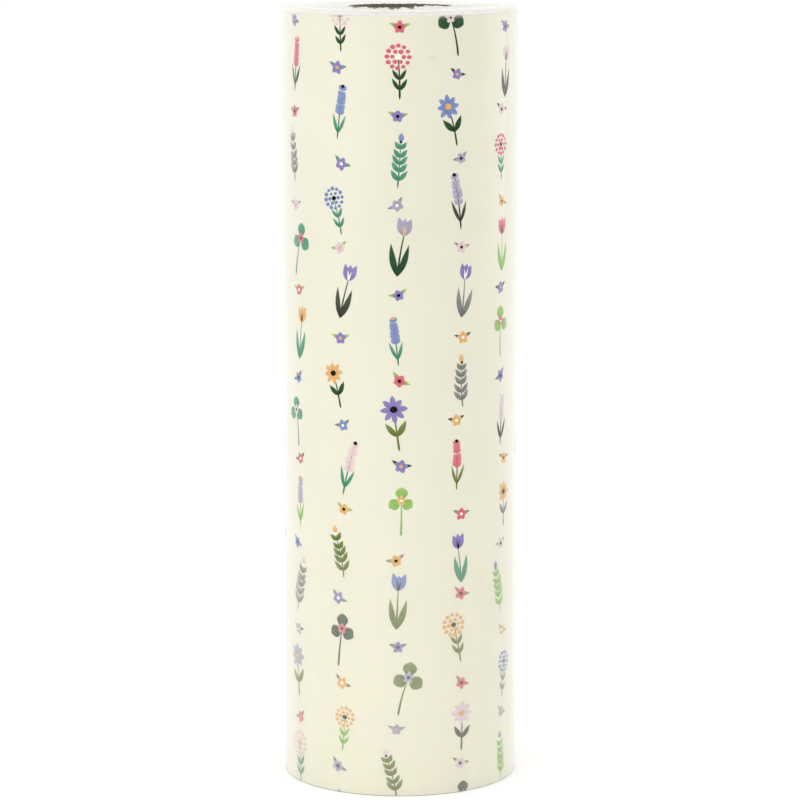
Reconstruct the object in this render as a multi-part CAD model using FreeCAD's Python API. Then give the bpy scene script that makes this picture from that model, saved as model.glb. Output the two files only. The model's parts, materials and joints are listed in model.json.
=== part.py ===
"""Counter roll of gift wrapping paper in clear shrink film, standing on end.

One long web of printed paper is wound on a cardboard tube. The web's first edge is stuck to the tube
with double-sided tape, and its last edge, the tail, is held by tabs of adhesive tape. A tube of shrink
film goes round the whole roll: it is tight on the side, folded flat under the foot, and stands up over
the top end as a loose crown that leaves the mouth of the core open. A weld closes the film down one side.

Frame: +Z is the axis of the roll and points up, and the origin is where that axis meets the surface the
roll stands on. Angles are in degrees about +Z from +X. Lengths are in millimetres.
"""
import FreeCAD, Part
import math
import os

Vector = FreeCAD.Vector

# Paper
web_width = 500.0  # width of the paper, and so the height of the wound roll
roll_diameter = 151.6  # over the last turn of paper
paper_thickness = 0.06
tail_angle = 110.0  # where the tail, the web's cut edge, lies
bare_angle = 25.0  # how far the last turn stops short of a full turn

# Core: a tube of cardboard plies, each wound and glued on the one inside it
core_bore = 60.0
ply_thickness = 0.5
ply_count = 6
core_proud = 3.5  # how far the core stands out of the paper at the top

# Adhesive tapes
start_tape_width = 20.0
start_tape_thickness = 0.15
start_tape_margin = 10.0  # from each end of the paper
start_tape_angle = 90.0
tab_thickness = 0.05
tab_reach = 24.0  # how far a tab reaches each side of the tail
tab_width = 19.0
tab_count = 2

# Shrink film
film_thickness = 0.1
film_slack = 0.25  # between the paper and the film round it
fold_thickness = 0.4  # of the folded film under the foot
crown_height = 5.0  # how far the film's crown stands over the paper's top end
lip_height = 2.5  # of the film's mouth over the paper's top end
lip_clearance = 0.4  # between the core and the film's mouth
lip_slope = 10.75  # how far outwards from its mouth the film slopes up to the crown's flat top
seam_angle = 155.0
seam_width = 4.0
seam_thickness = 0.15
seam_margin = 3.0  # from each end of the paper

# Places that follow from those
paper_foot = fold_thickness
paper_top = paper_foot + web_width
core_radius = core_bore / 2 + ply_count * ply_thickness
last_turn_radius = roll_diameter / 2 - 2 * paper_thickness  # where the last turn starts
last_turn_start = tail_angle + bare_angle
last_turn_sweep = 360.0 - bare_angle
film_inside = roll_diameter / 2 + film_slack
film_outside = film_inside + film_thickness
lip_radius = core_radius + lip_clearance


def direction(angle):
    return Vector(math.cos(math.radians(angle)), math.sin(math.radians(angle)), 0)


def line(first, last):
    return Part.LineSegment(first, last).toShape()


def arc(first, middle, last):
    return Part.Arc(first, middle, last).toShape()


def arc_angle(length, radius):
    """The angle that an arc of that length takes at that radius."""
    return math.degrees(length / radius)


def prism(edges, foot, height):
    """A closed outline in the XY plane, drawn up from z = foot."""
    face = Part.Face(Part.Wire(Part.__sortEdges__(edges)))
    face.translate(Vector(0, 0, foot))
    return face.extrude(Vector(0, 0, height))


def tube(inner, outer, foot, height):
    base = Vector(0, 0, foot)
    return Part.makeCylinder(outer, height, base).cut(Part.makeCylinder(inner, height, base))


def sector(inner, outer, middle_angle, width, foot, height):
    """A strip of that width lying on the cylinder of radius inner."""
    half = arc_angle(width, inner) / 2
    low, mid, high = (direction(middle_angle + a) for a in (-half, 0, half))
    return prism(
        [
            arc(low * inner, mid * inner, high * inner),
            line(high * inner, high * outer),
            arc(high * outer, mid * outer, low * outer),
            line(low * outer, low * inner),
        ],
        foot,
        height,
    )


def spiral_point(radius, turned):
    """A point on a turn of the web that starts at that radius and grows by one thickness of paper.

    The turn is two half circles. The second is larger by half a thickness, and its centre is
    shifted by as much, so that the halves meet smoothly. turned counts from the last turn's start.
    """
    outward = direction(last_turn_start + turned)
    if turned <= 180:
        return outward * radius
    growth = paper_thickness / 2
    return direction(last_turn_start) * growth + outward * (radius + growth)


def spiral_arcs(radius, first, last):
    stops = [first, 180, last] if first < 180 < last else [first, last]
    return [
        arc(spiral_point(radius, a), spiral_point(radius, (a + b) / 2), spiral_point(radius, b))
        for a, b in zip(stops, stops[1:])
    ]


def make_core_plies():
    """The core's plies from the bore outwards, as node name and tube."""
    plies = {}
    for number in range(1, ply_count + 1):
        outer = core_bore / 2 + number * ply_thickness
        name = f"core_ply_{number}"
        plies[name] = tube(outer - ply_thickness, outer, paper_foot, web_width + core_proud)
    return plies


def make_start_tape():
    """Double-sided tape along the core, under the web's first edge."""
    return sector(
        core_radius,
        core_radius + start_tape_thickness,
        start_tape_angle,
        start_tape_width,
        paper_foot + start_tape_margin,
        web_width - 2 * start_tape_margin,
    )


def make_wound_paper(start_tape):
    """Every turn but the last. Its outline has a step of one thickness where the last turn starts."""
    first, last = spiral_point(last_turn_radius, 0), spiral_point(last_turn_radius, 360)
    outline = spiral_arcs(last_turn_radius, 0, 360) + [line(last, first)]
    body = prism(outline, paper_foot, web_width)
    core_space = Part.makeCylinder(core_radius, web_width, Vector(0, 0, paper_foot))
    return body.cut(core_space).cut(start_tape)


def make_last_turn():
    """The printed turn on the outside, from the step in the turns below it to the tail."""
    inner, outer = last_turn_radius, last_turn_radius + paper_thickness
    edges = spiral_arcs(inner, 0, last_turn_sweep) + spiral_arcs(outer, 0, last_turn_sweep)
    for turned in (0, last_turn_sweep):
        edges.append(line(spiral_point(inner, turned), spiral_point(outer, turned)))
    return prism(edges, paper_foot, web_width)


def make_tail_tabs():
    """Tape tabs across the tail, evenly spaced along it. Each steps down with the edge that it holds."""
    low = last_turn_radius
    high = low + paper_thickness
    tail = last_turn_sweep
    reach = arc_angle(tab_reach, high)
    step = tail + arc_angle(tab_thickness, high)
    first, last = tail - reach, tail + reach
    outline = [
        *spiral_arcs(high, first, tail),
        line(spiral_point(high, tail), spiral_point(low, tail)),
        *spiral_arcs(low, tail, last),
        line(spiral_point(low, last), spiral_point(low + tab_thickness, last)),
        *spiral_arcs(low + tab_thickness, step, last),
        line(spiral_point(low + tab_thickness, step), spiral_point(high + tab_thickness, step)),
        *spiral_arcs(high + tab_thickness, first, step),
        line(spiral_point(high + tab_thickness, first), spiral_point(high, first)),
    ]
    middles = [paper_foot + web_width * (n + 0.5) / tab_count for n in range(tab_count)]
    return Part.makeCompound([prism(outline, z - tab_width / 2, tab_width) for z in middles])


def quarter(centre_radius, centre_z, radius, up):
    """A quarter arc in the XZ plane, from the side of the film round to its top (up 1) or foot (up -1)."""
    lean = radius * math.sqrt(0.5)
    return arc(
        Vector(centre_radius + radius, 0, centre_z),
        Vector(centre_radius + lean, 0, centre_z + up * lean),
        Vector(centre_radius, 0, centre_z + up * radius),
    )


def make_shrink_film():
    """One shell: folded flat under the foot, tight on the side, and a crown over the top end."""
    corner = film_outside - crown_height
    crown_top = paper_top + crown_height
    crown_inner = lip_radius + lip_slope
    lip_top = paper_top + lip_height
    foot_corner = film_outside - fold_thickness

    def at(radius, z):
        return Vector(radius, 0, z)

    outside = [
        line(at(lip_radius, 0), at(foot_corner, 0)),
        quarter(foot_corner, fold_thickness, fold_thickness, -1),
        line(at(film_outside, fold_thickness), at(film_outside, paper_top)),
        quarter(corner, paper_top, crown_height, 1),
        line(at(corner, crown_top), at(crown_inner, crown_top)),
        line(at(crown_inner, crown_top), at(lip_radius, lip_top)),
    ]
    inside = [
        line(at(lip_radius, lip_top), at(lip_radius, lip_top - film_thickness)),
        line(at(lip_radius, lip_top - film_thickness), at(crown_inner, crown_top - film_thickness)),
        line(at(crown_inner, crown_top - film_thickness), at(corner, crown_top - film_thickness)),
        quarter(corner, paper_top, crown_height - film_thickness, 1),
        line(at(film_inside, paper_top), at(film_inside, fold_thickness)),
        line(at(film_inside, fold_thickness), at(lip_radius, fold_thickness)),
        line(at(lip_radius, fold_thickness), at(lip_radius, 0)),
    ]
    profile = Part.Face(Part.Wire(Part.__sortEdges__(outside + inside)))
    return profile.revolve(Vector(0, 0, 0), Vector(0, 0, 1), 360)


def make_film_seam():
    """The weld down the film's side, as a flat bead on it."""
    return sector(
        film_outside,
        film_outside + seam_thickness,
        seam_angle,
        seam_width,
        paper_foot + seam_margin,
        web_width - 2 * seam_margin,
    )


def main():
    os.makedirs("parts", exist_ok=True)
    start_tape = make_start_tape()
    nodes = {
        **make_core_plies(),
        "start_tape": start_tape,
        "wound_paper": make_wound_paper(start_tape),
        "last_turn": make_last_turn(),
        "tail_tabs": make_tail_tabs(),
        "shrink_film": make_shrink_film(),
        "film_seam": make_film_seam(),
    }
    for name, shape in nodes.items():
        shape.exportStep(f"parts/{name}.step")
        print(f"{name}: {len(shape.Solids)} solid, {shape.Volume:.1f} mm3, valid {shape.isValid()}")


main()
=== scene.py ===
"""Counter roll of gift wrap in clear shrink film, standing on end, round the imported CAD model.

Lengths are millimetres until polar() or web_point() turns them into metres, except that the floor, the
lights and the camera are placed in metres. Angles on the roll are about +Z from +X, in radians, or in
degrees inside math.radians(). Headings on the flat print are in degrees. The front of the roll faces -Y.
"""
import json
import math
import random

import bmesh
import bpy
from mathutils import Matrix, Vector, noise


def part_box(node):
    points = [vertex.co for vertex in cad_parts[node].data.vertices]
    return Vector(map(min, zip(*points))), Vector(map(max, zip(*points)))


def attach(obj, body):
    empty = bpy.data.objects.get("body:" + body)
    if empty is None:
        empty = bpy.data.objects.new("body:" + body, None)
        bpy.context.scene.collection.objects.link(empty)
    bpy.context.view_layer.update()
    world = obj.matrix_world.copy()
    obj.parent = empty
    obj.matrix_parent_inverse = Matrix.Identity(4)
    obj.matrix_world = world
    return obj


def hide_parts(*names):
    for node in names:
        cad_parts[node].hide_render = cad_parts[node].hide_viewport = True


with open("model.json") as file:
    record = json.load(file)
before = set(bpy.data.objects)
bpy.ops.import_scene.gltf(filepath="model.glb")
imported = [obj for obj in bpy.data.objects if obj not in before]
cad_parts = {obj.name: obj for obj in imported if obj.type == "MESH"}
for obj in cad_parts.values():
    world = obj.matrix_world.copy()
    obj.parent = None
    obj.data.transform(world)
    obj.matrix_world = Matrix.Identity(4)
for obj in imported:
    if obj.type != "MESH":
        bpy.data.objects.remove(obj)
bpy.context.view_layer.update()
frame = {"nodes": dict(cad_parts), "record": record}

MM = 0.001
TURN = 2 * math.pi

# Sizes that the CAD model has
FOOT, TOP = (corner.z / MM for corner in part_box("wound_paper"))
WEB_WIDTH = TOP - FOOT
WEB_RADIUS = 75.68  # under the last turn, where that turn starts
PAPER = 0.06
START = math.radians(135)  # the last turn's start
SWEEP = math.radians(335)  # from there to the tail
FILM_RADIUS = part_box("shrink_film")[1].x / MM
CORE_BORE = frame["record"]["mounts"][0]["dims"]["r_mm"]
PLY = 0.5
CORE_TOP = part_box("core_ply_1")[1].z / MM
CORE_RADIUS = CORE_BORE + 6 * PLY
SEAM = math.radians(155)
TAB_REACH = 24.0  # of a tape tab, each side of the tail
TAB_WIDTH = 19.0

# The print's own frame: x runs along the web from the middle of the front, y up from the web's foot edge
FRONT = math.radians(270)
PRINT_RADIUS = 75.8
OUT_OF_STEP = 41.0  # between the print of the last turn and that of the turn below it
COLUMNS_ROUND = 12  # of motifs, round the roll
CELL_WIDTH = TURN * PRINT_RADIUS / COLUMNS_ROUND
CELL_HEIGHT = 56.0
FLORET_RISE = 0.8  # of a cell's height, from a motif's foot to the floret over it
WANDER = 3.0  # the farthest a motif may be off its place on the grid, each way
MOTIF_LEAN, FLORET_LEAN = 11, 40  # the most that each may lean, in degrees


# ---------------------------------------------------------------- geometry

def polar(radius, angle, z):
    return Vector((radius * math.cos(angle), radius * math.sin(angle), z)) * MM


def web_point(radius, turned, z):
    """A point of the web's spiral, which grows by one thickness of paper a turn, as two half circles do."""
    angle = START + turned
    point = polar(radius, angle, z)
    if turned > math.pi:
        growth = PAPER / 2
        point += polar(growth, angle, 0) + polar(growth, START, 0)
    return point


def skin(bm, rows, closed=True):
    """Quads between rows of points. closed joins each row's ends. Outward is right of the way up the rows."""
    made = [[bm.verts.new(point) for point in row] for row in rows]
    for low, high in zip(made, made[1:]):
        columns = len(low)
        for a in range(columns if closed else columns - 1):
            b = (a + 1) % columns
            bm.faces.new((low[a], low[b], high[b], high[a]))
    return made


def make_piece(name, bm, material, nodes=(), smooth=True, thickness=0.0):
    """Turns a bmesh into a piece of the roll that rides on its one body."""
    bmesh.ops.remove_doubles(bm, verts=bm.verts[:], dist=1e-7)
    mesh = bpy.data.meshes.new(name)
    bm.to_mesh(mesh)
    bm.free()
    mesh.materials.append(material)
    mesh.polygons.foreach_set("use_smooth", [smooth] * len(mesh.polygons))
    piece = bpy.data.objects.new(name, mesh)
    bpy.context.scene.collection.objects.link(piece)
    if thickness:
        solid = piece.modifiers.new("thickness", "SOLIDIFY")
        solid.thickness = thickness * MM
        solid.offset = -1.0
        solid.use_even_offset = False
    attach(piece, "root")
    if nodes:
        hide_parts(*nodes)
    return piece


# ---------------------------------------------------------------- materials

class Nodes:
    """A material's nodes, added by type, with each input given by name as a number or as another socket."""

    def __init__(self, name):
        self.material = bpy.data.materials.new(name)
        self.material.use_nodes = True
        self.tree = self.material.node_tree
        self.tree.nodes.clear()

    def add(self, kind, inputs=None, **settings):
        node = self.tree.nodes.new("ShaderNode" + kind)
        for key, value in settings.items():
            setattr(node, key, value)
        for key, value in (inputs or {}).items():
            socket = node.inputs[key]
            if isinstance(value, bpy.types.NodeSocket):
                self.tree.links.new(value, socket)
            else:
                socket.default_value = value
        return node

    def noise(self, scale, detail=3.0, vector=None):
        vector = vector or self.add("TexCoord").outputs["Object"]
        inputs = {"Vector": vector, "Scale": scale, "Detail": detail}
        return self.add("TexNoise", inputs).outputs["Fac"]

    def stretched(self, x, y, z):
        """Object coordinates, stretched, for grain that runs one way."""
        where = self.add("TexCoord").outputs["Object"]
        return self.add("Mapping", {"Vector": where, "Scale": (x, y, z)}).outputs["Vector"]

    def ramp(self, factor, *stops):
        node = self.add("ValToRGB", {"Fac": factor})
        elements = node.color_ramp.elements
        while len(elements) < len(stops):
            elements.new(0.5)
        for element, (position, colour) in zip(elements, stops):
            element.position, element.color = position, (*colour, 1)
        return node.outputs["Color"]

    def remap(self, value, low, high, to_low, to_high):
        inputs = {"Value": value, "From Min": low, "From Max": high, "To Min": to_low, "To Max": to_high}
        return self.add("MapRange", inputs).outputs["Result"]

    def math(self, operation, first, second=0.0):
        node = self.add("Math", {0: first, 1: second}, operation=operation)
        return node.outputs["Value"]

    def bump(self, height, strength, distance):
        inputs = {"Height": height, "Strength": strength, "Distance": distance * MM}
        return self.add("Bump", inputs).outputs["Normal"]

    def finish(self, shader):
        output = self.add("OutputMaterial")
        self.tree.links.new(shader.outputs[0], output.inputs["Surface"])
        return self.material


def srgb(red, green, blue):
    """Linear colour from 8-bit sRGB."""
    def linear(value):
        value /= 255
        return value / 12.92 if value <= 0.04045 else ((value + 0.055) / 1.055) ** 2.4
    return tuple(linear(value) for value in (red, green, blue))


def tint(colour, factor):
    return tuple(channel * factor for channel in colour)


def paper_material():
    """Smooth coated paper: cream, with a faint cloudy formation and a fine grain."""
    n = Nodes("cream_paper")
    cloud = n.noise(22.0, 4.0)
    cream = srgb(226, 223, 204)
    colour = n.ramp(cloud, (0.3, tint(cream, 0.975)), (0.7, cream))
    grain = n.noise(2400.0, 2.0)
    roughness = n.remap(grain, 0.3, 0.7, 0.42, 0.52)
    inputs = {"Base Color": colour, "Roughness": roughness, "Normal": n.bump(grain, 0.12, 0.02),
              "Specular IOR Level": 0.35}
    return n.finish(n.add("BsdfPrincipled", inputs))


def ink_material(name, dark, light):
    """Printing ink: denser at a stroke's start, thinner at its end, and a little uneven in the grain."""
    n = Nodes("ink_" + name)
    tone = n.add("Attribute", attribute_name="tone").outputs["Fac"]
    mottle = n.remap(n.noise(420.0, 3.0), 0.3, 0.7, -0.22, 0.22)
    colour = n.ramp(n.math("ADD", tone, mottle), (0.0, dark), (1.0, light))
    grain = n.noise(1800.0, 2.0)
    inputs = {"Base Color": colour, "Roughness": n.remap(grain, 0.3, 0.7, 0.5, 0.62),
              "Normal": n.bump(grain, 0.1, 0.02), "Specular IOR Level": 0.05}
    return n.finish(n.add("BsdfPrincipled", inputs))


def edge_material():
    """The cut ends of the wound web: rings of paper edges, with a darker line wherever turns part."""
    n = Nodes("wound_edges")
    where = n.add("TexCoord").outputs["Object"]
    flat = n.add("VectorMath", {0: where, 1: (1, 1, 0)}, operation="MULTIPLY").outputs["Vector"]
    radius = n.add("VectorMath", {0: flat}, operation="LENGTH").outputs["Value"]

    def rings(scale, detail):
        inputs = {"W": radius, "Scale": scale, "Detail": detail}
        return n.add("TexNoise", inputs, noise_dimensions="1D").outputs["Fac"]

    fine = rings(9000.0, 2.0)
    broad = rings(700.0, 3.0)
    white = srgb(250, 248, 242)
    lines = n.ramp(fine, (0.3, tint(white, 0.8)), (0.55, white))
    bands = n.ramp(broad, (0.35, (0.88, 0.87, 0.85)), (0.6, (1.0, 1.0, 1.0)))
    mix = n.add("Mix", {"Factor": 1.0, 6: lines, 7: bands}, data_type="RGBA", blend_type="MULTIPLY")
    inputs = {"Base Color": mix.outputs[2], "Roughness": 0.8, "Normal": n.bump(fine, 0.5, 0.08),
              "Specular IOR Level": 0.2}
    return n.finish(n.add("BsdfPrincipled", inputs))


def board_material(number):
    """Recycled board: grey-brown, with fibres, specks and a matt, slightly felted face."""
    n = Nodes(f"grey_board_{number}")
    base = srgb(*((134, 131, 114), (122, 119, 103), (142, 139, 121))[number % 3])
    pulp = n.noise(160.0, 5.0, n.stretched(1, 1, 0.35))
    specks = n.noise(1500.0, 2.0)
    colour = n.ramp(pulp, (0.32, tint(base, 0.72)), (0.68, tint(base, 1.08)))
    dark = n.ramp(specks, (0.3, (0.45, 0.42, 0.36)), (0.4, (1.0, 1.0, 1.0)))
    mix = n.add("Mix", {"Factor": 0.8, 6: colour, 7: dark}, data_type="RGBA", blend_type="MULTIPLY")
    inputs = {"Base Color": mix.outputs[2], "Roughness": n.remap(specks, 0.3, 0.7, 0.8, 0.95),
              "Normal": n.bump(pulp, 0.35, 0.12), "Specular IOR Level": 0.2}
    return n.finish(n.add("BsdfPrincipled", inputs))


def film_material(name, haze, facing_gloss, roughness):
    """Clear film: see-through face on, glossy at a glancing angle, and hazier where it is gathered. The same
    white veil over the side's lowest third is a painted reflection of the floor.
    """
    n = Nodes(name)
    streaks = n.noise(60.0, 3.0, n.stretched(1, 1, 0.08))
    normal = n.bump(streaks, 0.05, 0.3)
    gloss = n.add("BsdfGlossy", {"Roughness": roughness, "Normal": normal, "Color": (1, 1, 1, 1)})
    clear = n.add("BsdfTransparent", {"Color": (0.99, 0.99, 0.99, 1)})
    glance = n.add("LayerWeight", {"Blend": 0.5, "Normal": normal}).outputs["Facing"]
    shine = n.remap(n.math("POWER", glance, 4.6), 0.0, 1.0, facing_gloss, 0.95)
    film = n.add("MixShader", {0: shine, 1: clear.outputs[0], 2: gloss.outputs[0]})
    if not haze:
        return n.finish(film)
    # The haze attribute holds the film's own haze where it is gathered or creased, and a painted reflection
    # of the floor over the side's lowest third.
    gathered = n.add("Attribute", attribute_name="haze").outputs["Fac"]
    bloom = n.ramp(gathered, (0.25, srgb(250, 249, 240)), (0.6, srgb(250, 249, 246)))
    milk = n.add("BsdfDiffuse", {"Color": bloom})
    glow = n.add("BsdfTranslucent", {"Color": bloom})
    veil = n.add("MixShader", {0: 0.4, 1: milk.outputs[0], 2: glow.outputs[0]})
    amount = n.math("MULTIPLY", gathered, n.remap(streaks, 0.3, 0.7, 0.7 * haze, haze))
    return n.finish(n.add("MixShader", {0: amount, 1: film.outputs[0], 2: veil.outputs[0]}))


# ---------------------------------------------------------------- the print

SHAPES = {
    "stem": lambda t: min(1.0, 8 * t + 0.4) * (1 - 0.5 * t),
    "leaf": lambda t: math.sin(math.pi * t ** 0.85),
    "oval": lambda t: math.sqrt(max(0.0, 1 - (2 * t - 1) ** 2)),
    "pad": lambda t: math.sin(math.pi * t ** 1.25) ** 0.8,
}


def toward(heading):
    return Vector((math.cos(math.radians(heading)), math.sin(math.radians(heading))))


def heading_of(points, index):
    index = max(index, 1)
    ahead = points[index] - points[index - 1]
    return math.degrees(math.atan2(ahead.y, ahead.x))


class Press:
    """Draws the print as flat strips on the unrolled web, with one mesh for each ink.

    Headings are in degrees, with 90 up. Each shape lies a little above the web, higher in a higher layer.
    """
    FACET = 1.1  # the widest a facet may be and still follow the roll
    STEP = 0.9  # about the longest a facet may be
    LIFT = 0.03  # of the lowest layer over the web
    LAYER = 0.013
    APART = 0.002  # between shapes of one layer, so that few of them lie in one plane
    THINNEST = 0.04
    SPREAD = 0.2  # how much wider the ink makes a shape
    LEAF_BEND = 12.0

    def __init__(self, seed):
        self.sheets = {}
        self.random = random.Random(seed)
        self.shapes = 0
        self.place(0, 0)

    def place(self, x, y, lean=0.0, size=1.0):
        """Sets the foot of the next shapes, their lean to the right in degrees, and their size."""
        self.origin = Vector((x, y))
        self.lean = math.radians(-lean)
        self.size = size

    def strip(self, ink, points, widths, layer=0, tones=(0.0, 1.0)):
        if ink not in self.sheets:
            self.sheets[ink] = bmesh.new()
            self.sheets[ink].verts.layers.float.new("tone")
        bm = self.sheets[ink]
        tone_of = bm.verts.layers.float["tone"]
        self.shapes += 1
        lift = self.LIFT + self.LAYER * layer + self.APART * (self.shapes % 4)
        turn = complex(math.cos(self.lean), math.sin(self.lean)) * self.size
        columns = max(1, math.ceil(max(widths) * self.size / self.FACET))
        rows = []
        for i, (point, width) in enumerate(zip(points, widths)):
            ahead = points[min(i + 1, len(points) - 1)] - points[max(i - 1, 0)]
            side = Vector((ahead.y, -ahead.x)).normalized() * width / 2
            row = []
            for c in range(columns + 1):
                local = point + side * (1 - 2 * c / columns)
                moved = complex(local.x, local.y) * turn
                vert = bm.verts.new((self.origin.x + moved.real, self.origin.y + moved.imag, lift))
                vert[tone_of] = tones[0] + (tones[1] - tones[0]) * i / (len(points) - 1)
                row.append(vert)
            rows.append(row[::-1])
        for low, high in zip(rows, rows[1:]):
            for c in range(columns):
                bm.faces.new((low[c], low[c + 1], high[c + 1], high[c]))

    def run(self, start, heading, length, bend=0.0):
        """Points along a line that starts with that heading and turns by bend over its length."""
        count = max(7, math.ceil(length * self.size / self.STEP))
        heading += self.random.uniform(-1, 1)
        point, points = Vector(start), [Vector(start)]
        for i in range(count - 1):
            point = point + toward(heading + bend * (i + 0.5) / (count - 1)) * length / (count - 1)
            points.append(point)
        return points

    def blade(self, ink, start, heading, length, width, bend=0.0, shape="stem", layer=0, tones=(0.0, 1.0)):
        points = self.run(start, heading, length, bend)
        last = len(points) - 1
        width = width * self.random.uniform(0.94, 1.06) + self.SPREAD
        widths = [max(self.THINNEST, width * SHAPES[shape](i / last)) for i in range(last + 1)]
        self.strip(ink, points, widths, layer, tones)
        return points

    def disc(self, ink, centre, radius, layer=0):
        start = Vector(centre) - Vector((0, radius))
        self.blade(ink, start, 90, 2 * radius, 2 * radius, shape="oval", layer=layer, tones=(0.0, 0.4))

    def dots(self, ink, places, radius, layer=0):
        for place in places:
            self.disc(ink, place, radius * self.random.uniform(0.85, 1.15), layer)

    def rosette(self, ink, centre, count, length, width, shape="pad", first=90.0, sweep=360.0, layer=0,
                tones=(0.0, 1.0)):
        """Petals round a centre, or fanned out over a sweep of less than a full turn."""
        spaces = count if sweep == 360.0 else count - 1
        for i in range(count):
            reach = length * self.random.uniform(0.9, 1.1)
            self.blade(ink, centre, first + sweep * i / spaces, reach, width, shape=shape,
                       layer=layer + i % 2 * 0.3, tones=tones)

    def leaves(self, ink, stem, places, length, width, spread, shape="leaf", taper=0.0, layer=0):
        """Leaves in pairs along a stem, at fractions of its length. taper shortens the later ones."""
        for number, place in enumerate(places):
            index = round(place * (len(stem) - 1))
            for side in (1, -1):
                reach = length * (1 - taper * number / len(places)) * self.random.uniform(0.9, 1.1)
                self.blade(ink, stem[index], heading_of(stem, index) + side * spread, reach, width,
                           -side * self.LEAF_BEND, shape, layer)


# Stock flower forms. Each stands on (0, 0), is about 34 tall, and takes its inks in the same order.

def daisy(p, petal, heart, green):
    """An open flower over one pair of leaves."""
    stem = p.blade(green, (0, 0), 90, 25, 1.2, p.random.uniform(-12, 12))
    p.leaves(green, stem, (0.35,), 11.0, 3.4, 42)
    p.rosette(petal, stem[-1], 8, 8.0, 3.2, layer=1, tones=(0.0, 0.5))
    p.disc(heart, stem[-1], 2.1, 2)


def tulip(p, petal, heart, green):
    """A cup of three petals between two long leaves."""
    stem = p.blade(green, (0, 0), 90, 24, 1.2, p.random.uniform(-8, 8))
    for side in (1, -1):
        p.blade(green, (0, 0), 90 + 24 * side, 20, 3.6, -18 * side, "leaf")
    p.rosette(petal, stem[-1], 3, 11.0, 5.0, "leaf", 70, 40, layer=1, tones=(0.0, 0.5))
    p.rosette(heart, stem[-1], 2, 7.0, 0.8, "leaf", 80, 20, layer=2)


def leafy_sprig(p, petal, heart, green):
    """Leaves in pairs up a stem, with a bud at its tip."""
    stem = p.blade(green, (0, 0), 90, 30, 1.0, p.random.uniform(-14, 14))
    p.leaves(green, stem, [i / 6 for i in range(1, 6)], 9.0, 3.0, 45, taper=0.4)
    p.blade(petal, stem[-1], 90, 6.0, 3.6, shape="leaf", layer=1)
    p.disc(heart, stem[-1], 0.9, 2)


def pompom(p, petal, heart, green):
    """A round head of dots in two rings."""
    stem = p.blade(green, (0, 0), 90, 25, 1.1, p.random.uniform(-12, 12))
    p.leaves(green, stem, (0.2, 0.45), 8.0, 2.2, 38)
    for count, reach in ((6, 3.4), (12, 6.6)):
        p.dots(petal, [stem[-1] + toward(360 * i / count) * reach for i in range(count)], 1.3, 1)
    p.disc(heart, stem[-1], 1.7, 2)


def clover(p, petal, heart, green):
    """Three round leaves, with a small flower where they meet."""
    stem = p.blade(green, (0, 0), 90, 24, 1.2, p.random.uniform(-16, 16))
    p.rosette(green, stem[-1], 3, 9.5, 8.0, first=90, layer=1)
    p.rosette(petal, stem[-1], 5, 3.6, 2.2, layer=2)
    p.disc(heart, stem[-1], 0.9, 3)


def spike(p, petal, heart, green):
    """Buds in pairs up the top half of a stem."""
    stem = p.blade(green, (0, 0), 90, 33, 1.0, p.random.uniform(-10, 10))
    p.leaves(green, stem, (0.12,), 14.0, 2.0, 26)
    p.leaves(petal, stem, [0.46 + 0.09 * i for i in range(6)], 5.0, 2.8, 42, "pad", layer=1, taper=0.3)
    p.disc(heart, stem[-1], 1.2, 2)


def floret(p, petal, heart, green):
    """A small flower head on two leaves, for the gap over each motif."""
    for heading in (20, 160):
        p.blade(green, (0, 0), heading, 7.0, 2.2, shape="leaf")
    p.rosette(petal, (0, 0), 5, 4.2, 3.0, layer=1, tones=(0.0, 0.5))
    p.disc(heart, (0, 0), 1.1, 2)


MOTIFS = (daisy, tulip, leafy_sprig, pompom, clover, spike)
PETALS = ("rose", "blush", "lilac", "blue", "amber", "violet", "mauve")
HEARTS = ("amber", "white", "black")
GREENS = ("forest", "fern", "teal", "lime", "olive", "grey")

# Each ink where it is dense and where it is thin, in 8-bit sRGB
INKS = {
    "black": ((7, 6, 3), (20, 18, 11)), "forest": ((24, 58, 32), (54, 86, 56)),
    "fern": ((42, 48, 38), (86, 92, 74)), "teal": ((54, 126, 94), (98, 158, 128)),
    "lime": ((118, 172, 70), (156, 190, 112)), "olive": ((88, 102, 42), (128, 140, 78)),
    "rose": ((200, 90, 104), (218, 136, 142)), "blush": ((214, 188, 190), (228, 206, 203)),
    "lilac": ((150, 146, 172), (190, 184, 198)), "blue": ((110, 126, 176), (142, 156, 194)),
    "amber": ((214, 164, 96), (224, 188, 134)), "white": ((240, 238, 228), (248, 246, 238)),
    "grey": ((104, 108, 104), (150, 152, 146)), "violet": ((128, 116, 170), (150, 140, 190)),
    "mauve": ((208, 188, 197), (223, 206, 207)),
}


def print_motifs():
    """Motifs on a half-drop grid, every form once before any comes again, with inks drawn at random."""
    press = Press(11)
    pick = press.random
    waiting = []
    for column in range(-5, 10):  # as far as the last turn and the strip bared by its tail reach
        for row in range(-1, math.ceil(WEB_WIDTH / CELL_HEIGHT)):
            waiting = waiting or pick.sample(MOTIFS, len(MOTIFS))
            x = column * CELL_WIDTH + pick.uniform(-WANDER, WANDER)
            y = (row + 0.5 * (column % 2)) * CELL_HEIGHT + pick.uniform(-WANDER, WANDER)
            gap = y + FLORET_RISE * CELL_HEIGHT
            for draw, foot, lean in ((waiting.pop(), y, MOTIF_LEAN), (floret, gap, FLORET_LEAN)):
                petal = pick.choice(PETALS)
                heart = pick.choice([ink for ink in HEARTS if ink != petal])
                press.place(x, foot, pick.uniform(-lean, lean), pick.uniform(0.88, 1.08))
                draw(press, petal, heart, pick.choice(GREENS))
    return press.sheets


def cut(bm, low, high, axis):
    """Keeps only what lies from low to high along one axis."""
    for place, way in ((low, -1), (high, 1)):
        normal = Vector((0, 0, 0))
        normal[axis] = way
        everything = bm.verts[:] + bm.edges[:] + bm.faces[:]
        bmesh.ops.bisect_plane(bm, geom=everything, plane_co=normal * place * way, plane_no=normal,
                               clear_outer=True)


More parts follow.
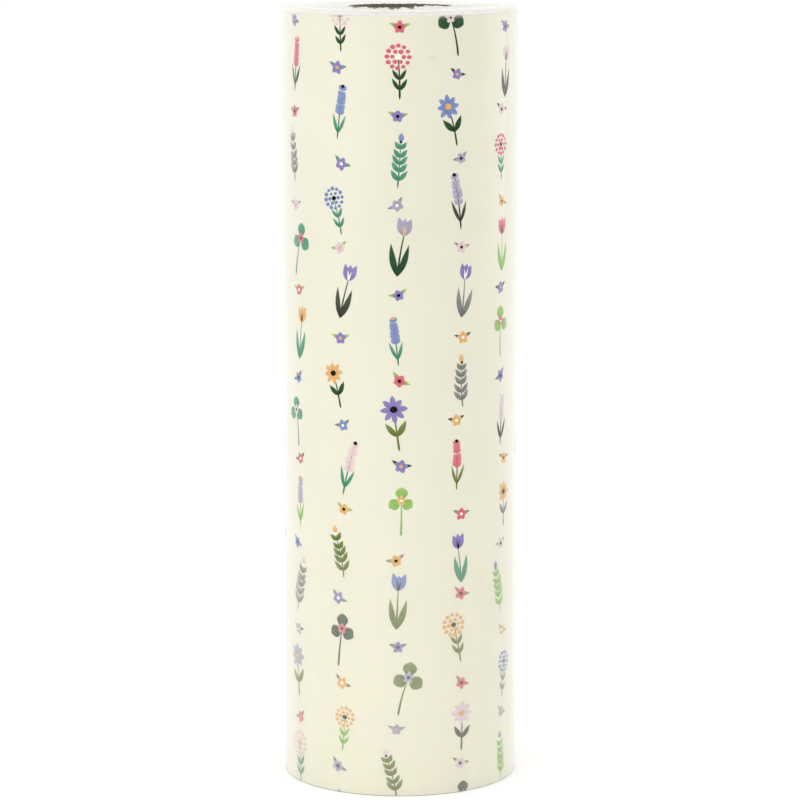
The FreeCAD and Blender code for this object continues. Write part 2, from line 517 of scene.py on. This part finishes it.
def wrap_print(sheet, into):
    """Lays a flat sheet of print on the last turn, and on the strip of the turn below that it leaves bare."""
    start = (START - FRONT) * PRINT_RADIUS
    tail = start + SWEEP * PRINT_RADIUS
    end = start + TURN * PRINT_RADIUS
    turns = ((start, tail, 0.0, WEB_RADIUS + PAPER), (tail, end, -OUT_OF_STEP, WEB_RADIUS))
    for low, high, shift, radius in turns:
        part = sheet.copy()
        bmesh.ops.translate(part, verts=part.verts[:], vec=(shift, 0, 0))
        cut(part, low, high, 0)
        cut(part, 0.0, WEB_WIDTH, 1)
        for vert in part.verts:
            turned = (vert.co.x - start) / PRINT_RADIUS
            vert.co = web_point(radius + vert.co.z, turned, FOOT + vert.co.y)
        scratch = bpy.data.meshes.new("scratch")
        part.to_mesh(scratch)
        part.free()
        into.from_mesh(scratch)
        bpy.data.meshes.remove(scratch)


def make_print():
    for ink, sheet in print_motifs().items():
        bm = bmesh.new()
        wrap_print(sheet, bm)
        sheet.free()
        dark, light = INKS[ink]
        make_piece(f"print_{ink}", bm, ink_material(ink, srgb(*dark), srgb(*light)))


# ---------------------------------------------------------------- paper, core and tapes

def make_last_turn(material):
    """The outer turn of the web as a sheet of its own, with its cut tail edge."""
    bm = bmesh.new()
    steps = 670  # of about 0.7 each
    rows = [[web_point(WEB_RADIUS + PAPER, SWEEP * i / steps, z) for i in range(steps + 1)]
            for z in (FOOT, FOOT + 0.1, FOOT + WEB_WIDTH / 3, FOOT + 2 * WEB_WIDTH / 3, TOP - 0.1, TOP)]
    skin(bm, rows, closed=False)
    make_piece("outer_turn", bm, material, ("last_turn",), thickness=PAPER)


def make_windings(material, side_material):
    """Every turn below: two end faces of slightly uneven turns, and the side that shows by the tail."""
    bm = bmesh.new()
    columns, rings = 240, 150
    wander = random.Random(3)
    level, levels = 0.0, []
    for _ in range(rings + 2):
        level = 0.82 * level + wander.uniform(-0.16, 0.06)
        levels.append(min(0.0, level))

    def ring(index, foot):
        row = []
        for column in range(columns):
            turned = column / columns
            share = (index + turned) / rings if 0 < index < rings else index / rings
            reach = WEB_RADIUS - 0.002
            edge = web_point(reach, TURN * turned, 0) / MM
            radius = CORE_RADIUS + (edge.length - CORE_RADIUS) * min(1.0, share)
            sag = levels[index] + (levels[index + 1] - levels[index]) * turned
            sag = sag if 0 < index < rings else 0.0
            z = FOOT - sag * 0.3 if foot else TOP + sag
            row.append(polar(radius, START + TURN * turned, z))
        return row

    rows = [ring(i, True) for i in range(rings + 1)] + [ring(i, False) for i in range(rings, -1, -1)]
    made = skin(bm, rows)
    first, last = made[0], made[-1]
    for a in range(columns):
        b = (a + 1) % columns
        bm.faces.new((last[a], last[b], first[b], first[a]))
    side = set(v for v in made[rings] + made[rings + 1])
    for face in bm.faces:
        face.material_index = 1 if all(v in side for v in face.verts) else 0
    piece = make_piece("wound_turns", bm, material, ("wound_paper",), smooth=False)
    piece.data.materials.append(side_material)


def make_ply(number):
    """One ply of the core. Its cut ends are a little rough, and the inner ply shows its helical joint."""
    bm = bmesh.new()
    inner = CORE_BORE + (number - 1) * PLY
    outer = inner + PLY - 0.006
    columns = 180
    heights = [FOOT + (CORE_TOP - FOOT) * i / 168 for i in range(169)] if number == 1 else [FOOT, CORE_TOP]
    pitch = 118.0

    def row(radius, z, groove):
        points = []
        for column in range(columns):
            angle = TURN * column / columns
            high, low = z > CORE_TOP - 0.01, z < FOOT + 0.01
            rough = noise.noise(Vector((math.cos(angle) * 9, math.sin(angle) * 9, number * 3.1 + radius)))
            fine = noise.noise(Vector((math.cos(angle) * 41, math.sin(angle) * 41, number + radius)))
            up = (0.6 * rough + 0.35 * fine - 0.2) if high else (0.1 * abs(rough) if low else 0.0)
            depth = 0.0
            if groove:
                phase = (angle / TURN + z / pitch) % 1.0
                depth = 0.32 * max(0.0, 1 - abs(phase - 0.5) * 90)
            points.append(polar(radius + depth, angle, z + up))
        return points

    rows = [row(outer, z, False) for z in heights] + [row(inner, z, number == 1) for z in reversed(heights)]
    made = skin(bm, rows)
    for a in range(columns):
        b = (a + 1) % columns
        bm.faces.new((made[-1][a], made[-1][b], made[0][b], made[0][a]))
    node = f"core_ply_{number}"
    make_piece(f"{node}_board", bm, board_material(number), (node,), smooth=False)


def make_fuzz(material):
    """Torn fibres of board along the core's top edge."""
    bm = bmesh.new()
    pick = random.Random(5)
    for _ in range(150):
        angle = pick.uniform(0, TURN)
        radius = pick.uniform(CORE_BORE + 0.1, CORE_RADIUS - 0.1)
        length, lean, way = pick.uniform(0.5, 1.5), pick.uniform(-0.8, 0.8), pick.uniform(0, TURN)
        base = polar(radius, angle, CORE_TOP - 0.2)
        step = Vector((math.cos(way) * lean, math.sin(way) * lean, 1)).normalized() * length * MM
        across = Vector((-math.sin(way), math.cos(way), 0)) * 0.07 * MM
        through = step.cross(across).normalized() * 0.05 * MM
        foot = [bm.verts.new(base + offset) for offset in (across, through, -across)]
        tip = bm.verts.new(base + step)
        for a in range(3):
            bm.faces.new((foot[a], foot[(a + 1) % 3], tip))
        bm.faces.new(foot[::-1])
    make_piece("core_fibres", bm, material, smooth=False)


def make_tabs(material):
    """Clear tape tabs across the tail, lying on the print."""
    reach = TAB_REACH / PRINT_RADIUS
    for number, share in enumerate((0.25, 0.75)):
        bm = bmesh.new()
        middle = FOOT + WEB_WIDTH * share
        rows = []
        for i in range(9):
            z = middle + TAB_WIDTH * (i / 8 - 0.5)
            row = []
            for c in range(73):
                turned = SWEEP + reach * (c / 36 - 1)
                down = PAPER if turned > SWEEP + 0.002 else 0.0
                teeth = 0.5 * (i % 2) / PRINT_RADIUS if c in (0, 72) else 0.0
                row.append(web_point(WEB_RADIUS + PAPER + 0.17 - down, turned + teeth, z))
            rows.append(row)
        skin(bm, rows, closed=False)
        make_piece(f"tail_tab_{number + 1}", bm, material, ("tail_tabs",) if number == 0 else (),
                   thickness=0.05)


# ---------------------------------------------------------------- shrink film

def lobes(angle, seed, count, sharp=1.0):
    """A smooth irregular wave round the roll, from 0 to 1."""
    where = Vector((math.cos(angle) * count / 6, math.sin(angle) * count / 6, seed))
    value = 0.5 + 0.5 * noise.noise(where)
    return min(1.0, max(0.0, value)) ** sharp


def crown_pleats(seed):
    """Pleats of the crown: where each one is, how wide, how high, and how it turns towards the mouth."""
    pick = random.Random(seed)
    pleats = []
    for _ in range(64):
        where = pick.uniform(0, TURN)
        width = pick.uniform(0.02, 0.055)
        height = pick.uniform(0.35, 1.35)
        pick.random()  # used by nothing, but without it the other draws would change
        twist = pick.uniform(-0.22, 0.22)
        pleats.append((where, width, height, twist))
    return pleats


def crown_height(angle):
    """Lower at the front, higher at the sides and the back."""
    back = 0.5 + 0.5 * math.sin(angle)
    side = abs(math.cos(angle)) ** 1.5
    return 2.3 + 2.0 * max(back ** 1.2, side) + 0.5 * (lobes(angle, 4.0, 14) - 0.5)


LOW_PAINTED_REFLECTION = 0.2  # strength of a painted reflection of the white floor: a white veil over the film's lowest third
LOW_TOP, LOW_FADE = 163, 24  # where that painted reflection starts, and the height over which it grows
CORNER = 5.2  # radius of the crown's rounded edge
MOUTH = 34.0  # mean radius of the film's mouth


def make_film(material):
    """The film as one sheet: folded under the foot, tight on the side, gathered in a crown over the top."""
    bm = bmesh.new()
    haze_of = bm.verts.layers.float.new("haze")
    columns = 540
    pleats = crown_pleats(21)
    foot_rows = [(FILM_RADIUS - 0.45 - (FILM_RADIUS - MOUTH) * (1 - i / 8) ** 1.3, i / 8) for i in range(9)]
    side_heights = [FOOT + 0.05 + (TOP - FOOT - 30) * i / 62 for i in range(63)]
    side_heights += [TOP - 30 + 30 * i / 14 for i in range(1, 15)]

    def ridge(angle, along):
        """Height of the pleats at a share of the way from the crown's corner to its mouth."""
        total = 0.0
        for where, width, height, twist in pleats:
            near = abs((angle - where - twist * along + math.pi) % TURN - math.pi)
            spread = width * (0.6 + 0.9 * along)
            if near < spread:
                total = max(total, height * (1 - near / spread) * min(1.0, 3.0 * along + 0.25))
        return total

    def place(angle, row):
        kind, value = row
        if kind == "foot":
            radius, share = value
            lift = 0.22 * (1 - share) * lobes(angle, 9.0, 60) if share < 1 else 0.0
            return radius, lift * 0.6, 0.55
        if kind == "side":
            slack = 0.14 * lobes(angle + 0.0006 * value, 2.0 + value / 400, 30)
            near_top = max(0.0, 1 - (TOP - value) / 26)
            near_foot = max(0.0, 1 - (value - FOOT) / 9)
            pucker = 0.35 * ridge(angle, 0.0) * near_top ** 2
            # low weights a painted reflection of the white floor over the film's lowest third; the rest of
            # this haze, at the top edge and the foot, is the film's own
            low = max(0.0, min(1.0, (LOW_TOP - value) / LOW_FADE))
            haze = 0.5 * near_top ** 30 + 0.06 * near_foot ** 2 + LOW_PAINTED_REFLECTION * low * low * (3 - 2 * low)
            return FILM_RADIUS + slack + pucker - 0.3 * near_foot ** 3, value, haze
        height = crown_height(angle)
        if kind == "corner":
            turn = value * math.pi / 2
            radius = FILM_RADIUS - CORNER * (1 - math.cos(turn)) + 0.25 * ridge(angle, value * 0.2)
            return radius, TOP + height * math.sin(turn), 0.8 + 0.2 * value
        lip_radius = MOUTH + 3.4 * (lobes(angle, 7.0, 40) - 0.5) + 1.2 * (lobes(angle, 17.0, 120) - 0.5)
        over = max(0.0, math.cos(angle - math.radians(306))) ** 14  # the gathers lean over the core here
        lip_radius -= 2.0 * over
        lip_height = 2.2 + 1.5 * (lobes(angle, 12.0, 50) - 0.4) + 1.1 * over
        start = FILM_RADIUS - CORNER
        radius = start + (lip_radius - start) * value
        ease = value * value * (3 - 2 * value)
        z = height + (lip_height - height) * ease - 0.9 * math.sin(math.pi * value) ** 2
        fold = ridge(angle, value)
        haze = min(1.0, 0.66 + 0.5 * fold + max(0.0, value - 0.8))
        return radius, TOP + z + fold * (0.25 + 0.75 * value), haze

    rows = [("foot", row) for row in foot_rows] + [("side", z) for z in side_heights]
    rows += [("corner", i / 9) for i in range(1, 10)] + [("crown", i / 30) for i in range(1, 31)]
    made = []
    for row in rows:
        points, hazes = [], []
        for column in range(columns):
            angle = TURN * column / columns
            radius, z, haze = place(angle, row)
            points.append(polar(radius, angle, z))
            hazes.append(haze)
        made.append((points, hazes))
    verts = skin(bm, [points for points, _ in made])
    for row, (_, hazes) in zip(verts, made):
        for vert, haze in zip(row, hazes):
            vert[haze_of] = haze
    make_piece("shrink_film_skin", bm, material, ("shrink_film",), thickness=0.05)


def make_creases(material):
    """Short sharp creases in the film's side, as low ridges that fade out at both ends."""
    pick = random.Random(8)
    lines = [((282, 474), (284, 474.4), (286, 474.2), (288, 473.6))]
    for _ in range(9):
        angle, z = pick.uniform(0, 180), pick.choice((pick.uniform(8, 60), pick.uniform(430, 488)))
        turn, rise = pick.uniform(-4, 4), pick.uniform(-14, 14)
        lines.append([(angle + turn * i / 3, z + rise * i / 3 + 0.8 * math.sin(i)) for i in range(4)])
    bm = bmesh.new()
    haze_of = bm.verts.layers.float.new("haze")
    for line in lines:
        rows = []
        for i in range(25):
            share = i / 24
            part = min(2, int(share * 3))
            step = share * 3 - part
            angle, z = (a + (b - a) * step for a, b in zip(line[part], line[part + 1]))
            swell = math.sin(math.pi * share)
            row = []
            for x in (-1, -0.4, 0, 0.4, 1):
                radius = FILM_RADIUS + 0.16 + 0.08 * swell * (1 - abs(x))
                row.append(polar(radius, math.radians(angle) + x * 0.014, z + x * 0.4))
            rows.append(row)
        for i, row in enumerate(skin(bm, rows, closed=False)):
            for vert, across in zip(row, (0, 0.7, 1, 0.7, 0)):
                vert[haze_of] = across * math.sin(math.pi * i / 24)
    make_piece("film_creases", bm, material, thickness=0.04)


def make_weld(material):
    """The film's weld: a flat margin with a crimped bead along it."""
    bm = bmesh.new()
    section = ((-2.0, 0.02), (-1.9, 0.12), (-0.7, 0.14), (-0.45, 0.4), (0.0, 0.5), (0.45, 0.4), (0.7, 0.14),
               (1.9, 0.12), (2.0, 0.02))
    rows = []
    for i in range(330):
        z = FOOT + 3 + (WEB_WIDTH - 6) * i / 329
        crimp = 0.1 * math.sin(i * 2.1)
        sway = 0.35 * noise.noise(Vector((0, 0, z / 60)))
        row = []
        for x, height in section:
            radius = FILM_RADIUS + 0.14 + height + (crimp if height > 0.3 else 0)
            row.append(polar(radius, SEAM + (x + sway) / FILM_RADIUS, z))
        rows.append(row)
    skin(bm, rows, closed=False)
    make_piece("film_weld_bead", bm, material, ("film_seam",), thickness=0.1)


# ---------------------------------------------------------------- stage

def make_stage():
    bpy.ops.mesh.primitive_plane_add(size=30)
    floor = bpy.context.object
    floor.name = "floor"
    n = Nodes("pale_floor")
    floor.data.materials.append(n.finish(n.add("BsdfDiffuse", {"Color": (0.97, 0.97, 0.97, 1)})))

    world = bpy.data.worlds.new("studio")
    world.use_nodes = True
    world.node_tree.nodes["Background"].inputs["Color"].default_value = (1, 1, 1, 1)
    world.node_tree.nodes["Background"].inputs["Strength"].default_value = 1.12
    bpy.context.scene.world = world

    for name, place, width, height, power in (("key", (-2.2, -1.9, 0.9), 2.6, 2.4, 16.0),
                                              ("side", (2.6, 0.7, 0.9), 1.8, 2.0, 6.0),
                                              ("low", (-0.4, -2.2, 0.4), 0.3, 0.2, 0.03)):
        data = bpy.data.lights.new(name, "AREA")
        data.shape, data.size, data.size_y, data.energy = "RECTANGLE", width, height, power
        light = bpy.data.objects.new(name, data)
        light.location = place
        if name == "low":
            data.spread = math.radians(15)
        light.visible_camera = False
        aim = Vector((0, 0, 0.02 if name == "low" else 0.25))
        light.rotation_euler = (aim - Vector(place)).to_track_quat("-Z", "Y").to_euler()
        bpy.context.scene.collection.objects.link(light)


def make_camera():
    look_down = 8.847  # degrees below level
    data = bpy.data.cameras.new("camera")
    data.lens = 150.0
    camera = bpy.data.objects.new("camera", data)
    camera.location = (0.0, -2.16, 0.583)
    camera.rotation_euler = (math.radians(90 - look_down), 0, 0)
    bpy.context.scene.collection.objects.link(camera)
    bpy.context.scene.camera = camera
    bpy.context.scene.view_settings.view_transform = "Standard"


def set_material(node, material):
    """Gives a CAD node that stays its own material."""
    for slot in frame["nodes"][node].material_slots:
        slot.material = material


make_camera()
make_stage()
paper = paper_material()
make_print()
make_last_turn(paper)
make_windings(edge_material(), paper)
for ply in range(1, 7):
    make_ply(ply)
make_fuzz(board_material(8))
tape = film_material("clear_tape", 0.0, 0.012, 0.12)
set_material("start_tape", tape)
make_tabs(tape)
make_film(film_material("clear_film", 0.75, 0.004, 0.07))
make_creases(film_material("creased_film", 0.05, 0.004, 0.07))
make_weld(film_material("film_weld", 0.0, 0.04, 0.15))
